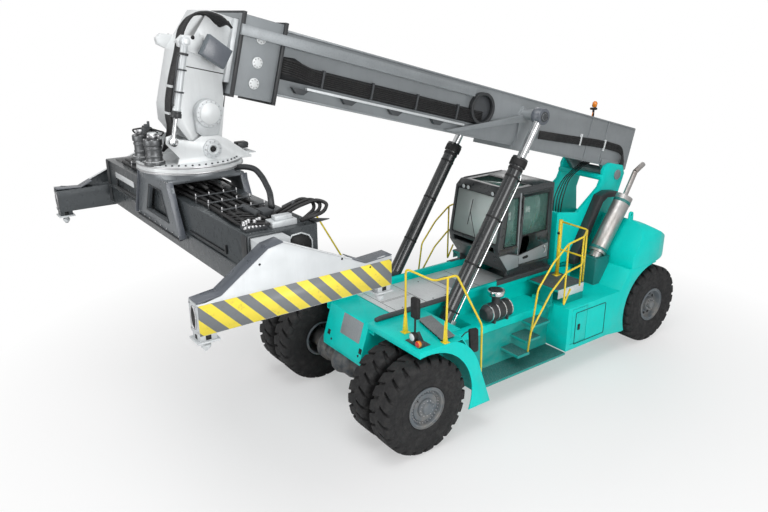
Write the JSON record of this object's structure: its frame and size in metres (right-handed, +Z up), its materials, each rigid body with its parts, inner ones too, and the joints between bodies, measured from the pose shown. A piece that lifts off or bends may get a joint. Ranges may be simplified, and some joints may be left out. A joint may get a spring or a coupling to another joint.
{
  "type": "reach stacker",
  "caption": "Wheeled container handler with a telescopic boom, lift cylinders, sliding cab and a slewing, extending spreader beam.",
  "frame": {"origin": "on the ground under the middle of the machine's overall length and width", "axes": "+X forwards to the spreader, +Y to the left, +Z up"},
  "size_m": [11.59, 6.08, 6.7264],
  "materials": {
    "turquoise_paint": "gloss paint",
    "grey_paint": "satin paint",
    "dark_paint": "satin black paint",
    "light_paint": "satin light grey paint",
    "yellow_paint": "gloss yellow paint",
    "tyre_rubber": "moulded rubber",
    "rod_chrome": "ground and plated rod",
    "muffler_steel": "bare heat-stained sheet",
    "seat_fabric": "woven seat cover",
    "seat_plastic": "moulded plastic",
    "lamp_plastic": "orange lens",
    "axle_iron": "painted casting"
  },
  "bodies": {
    "chassis": {"main_frame": "turquoise_paint", "deck_plates": "light_paint", "front_fender_left": "turquoise_paint", "front_fender_right": "turquoise_paint", "drive_axle": "axle_iron", "side_box_left": "turquoise_paint", "side_box_right": "turquoise_paint", "boom_tower": "turquoise_paint", "counterweight": "turquoise_paint", "engine_block": "axle_iron", "rear_axle": "axle_iron", "walkway_left": "dark_paint", "walkway_right": "dark_paint", "front_handrail_left": "yellow_paint", "front_handrail_right": "yellow_paint", "rear_handrail_left": "yellow_paint", "rear_handrail_right": "yellow_paint", "air_cleaner": "dark_paint", "exhaust": "muffler_steel", "intake_duct": "dark_paint"},
    "cab": {"cab_shell": "grey_paint", "driver_seat": "seat_plastic", "seat_cushion": "seat_fabric", "steering_column": "seat_plastic"},
    "cab_door": {"cab_door": "grey_paint"},
    "boom": {"outer_boom": "grey_paint", "beacon": "lamp_plastic"},
    "boom_extension": {"inner_boom": "light_paint", "boom_head": "light_paint"},
    "yoke": {"yoke": "light_paint"},
    "slew_frame": {"slew_frame": "light_paint"},
    "spreader_beam": {"spreader_beam": "light_paint"},
    "front_wheel_left": {"front_outer_tyre_left": "tyre_rubber", "front_inner_tyre_left": "tyre_rubber", "front_rim_left": "grey_paint"},
    "knuckle_left": {"knuckle_left": "axle_iron"},
    "rear_wheel_left": {"rear_tyre_left": "tyre_rubber", "rear_rim_left": "grey_paint"},
    "box_hatch_left": {"box_hatch_left": "turquoise_paint"},
    "lift_barrel_left": {"lift_barrel_left": "dark_paint"},
    "lift_rod_left": {"lift_rod_left": "rod_chrome"},
    "spreader_end_left": {"spreader_end_left": "light_paint"},
    "front_wheel_right": {"front_outer_tyre_right": "tyre_rubber", "front_inner_tyre_right": "tyre_rubber", "front_rim_right": "grey_paint"},
    "knuckle_right": {"knuckle_right": "axle_iron"},
    "rear_wheel_right": {"rear_tyre_right": "tyre_rubber", "rear_rim_right": "grey_paint"},
    "box_hatch_right": {"box_hatch_right": "turquoise_paint"},
    "lift_barrel_right": {"lift_barrel_right": "dark_paint"},
    "lift_rod_right": {"lift_rod_right": "rod_chrome"},
    "spreader_end_right": {"spreader_end_right": "light_paint"},
    "damper_barrel": {"damper_barrel": "light_paint"},
    "damper_rod": {"damper_rod": "rod_chrome"}
  },
  "joints": [
    {"name": "front_wheel_left_spin", "type": "hinge", "parent": "chassis", "child": "front_wheel_left", "pos_m": [1.905, 1.55, 0.826], "axis": [0, 1, 0], "continuous": true},
    {"name": "steer_left", "type": "hinge", "parent": "chassis", "child": "knuckle_left", "pos_m": [-4.525, 1.215, 0.826], "axis": [0, 0, 1], "range_deg": [-60, 60]},
    {"name": "rear_wheel_left_spin", "type": "hinge", "parent": "knuckle_left", "child": "rear_wheel_left", "pos_m": [-4.525, 1.49, 0.826], "axis": [0, 1, 0], "continuous": true},
    {"name": "front_wheel_right_spin", "type": "hinge", "parent": "chassis", "child": "front_wheel_right", "pos_m": [1.905, -1.55, 0.826], "axis": [0, 1, 0], "continuous": true},
    {"name": "steer_right", "type": "hinge", "parent": "chassis", "child": "knuckle_right", "pos_m": [-4.525, -1.215, 0.826], "axis": [0, 0, 1], "range_deg": [-60, 60]},
    {"name": "rear_wheel_right_spin", "type": "hinge", "parent": "knuckle_right", "child": "rear_wheel_right", "pos_m": [-4.525, -1.49, 0.826], "axis": [0, 1, 0], "continuous": true},
    {"name": "boom_lift", "type": "hinge", "parent": "chassis", "child": "boom", "pos_m": [-4.475, 0, 3.42], "axis": [0, -1, 0], "range_deg": [-12, 45]},
    {"name": "boom_extend", "type": "slide", "parent": "boom", "child": "boom_extension", "axis": [-0.9681, 0, -0.2504], "range_m": [-7, 0]},
    {"name": "lift_barrel_left_swing", "type": "hinge", "parent": "chassis", "child": "lift_barrel_left", "pos_m": [0.825, 0, 1.05], "axis": [0, -1, 0], "range_deg": [-3, 8]},
    {"name": "lift_rod_left_slide", "type": "slide", "parent": "lift_barrel_left", "child": "lift_rod_left", "axis": [-0.5318, 0, 0.8469], "range_m": [-0.7, 2.46]},
    {"name": "lift_barrel_right_swing", "type": "hinge", "parent": "chassis", "child": "lift_barrel_right", "pos_m": [0.825, 0, 1.05], "axis": [0, -1, 0], "range_deg": [-3, 8]},
    {"name": "lift_rod_right_slide", "type": "slide", "parent": "lift_barrel_right", "child": "lift_rod_right", "axis": [-0.5318, 0, 0.8469], "range_m": [-0.7, 2.46]},
    {"name": "yoke_tilt", "type": "hinge", "parent": "boom_extension", "child": "yoke", "pos_m": [4.435, 0, 4.97], "axis": [0, -1, 0], "range_deg": [-46, 13]},
    {"name": "damper_barrel_swing", "type": "hinge", "parent": "boom_extension", "child": "damper_barrel", "pos_m": [4.675, 0.48, 6.35], "axis": [0, -1, 0], "range_deg": [-5, 2]},
    {"name": "damper_rod_slide", "type": "slide", "parent": "damper_barrel", "child": "damper_rod", "axis": [0.2203, 0, -0.9754], "range_m": [-0.12, 0.41]},
    {"name": "slew", "type": "hinge", "parent": "yoke", "child": "slew_frame", "pos_m": [4.565, 0, 4.69], "axis": [0, 0, 1], "range_deg": [-105, 195]},
    {"name": "side_shift", "type": "slide", "parent": "slew_frame", "child": "spreader_beam", "axis": [0, 1, 0], "range_m": [-0.8, 0.8]},
    {"name": "spreader_extend_left", "type": "slide", "parent": "spreader_beam", "child": "spreader_end_left", "axis": [0, 1, 0], "range_m": [0, 3.05]},
    {"name": "spreader_extend_right", "type": "slide", "parent": "spreader_beam", "child": "spreader_end_right", "axis": [0, -1, 0], "range_m": [0, 3.05]},
    {"name": "cab_slide", "type": "slide", "parent": "chassis", "child": "cab", "axis": [1, 0, 0], "range_m": [-0.15, 2.4]},
    {"name": "cab_door_hinge", "type": "hinge", "parent": "cab", "child": "cab_door", "pos_m": [-1.475, 0.685, 2], "axis": [0, 0, -1], "range_deg": [0, 95]},
    {"name": "box_hatch_left_hinge", "type": "hinge", "parent": "chassis", "child": "box_hatch_left", "pos_m": [-1.96, 1.705, 0.9], "axis": [0, 0, -1], "range_deg": [0, 110]},
    {"name": "box_hatch_right_hinge", "type": "hinge", "parent": "chassis", "child": "box_hatch_right", "pos_m": [-1.96, -1.705, 0.9], "axis": [0, 0, 1], "range_deg": [0, 110]}
  ],
  "couplings": [
    {"joint": "steer_right", "follows": "steer_left", "ratio": 1},
    {"joint": "lift_barrel_left_swing", "follows": "boom_lift", "ratio": 0.1},
    {"joint": "lift_rod_left_slide", "follows": "boom_lift", "m_per_rad": 3.08},
    {"joint": "lift_barrel_right_swing", "follows": "boom_lift", "ratio": 0.1},
    {"joint": "lift_rod_right_slide", "follows": "boom_lift", "m_per_rad": 3.08},
    {"joint": "yoke_tilt", "follows": "boom_lift", "ratio": -1},
    {"joint": "damper_barrel_swing", "follows": "boom_lift", "ratio": -0.08},
    {"joint": "damper_rod_slide", "follows": "boom_lift", "m_per_rad": 0.5},
    {"joint": "spreader_extend_right", "follows": "spreader_extend_left", "ratio": 1}
  ]
}
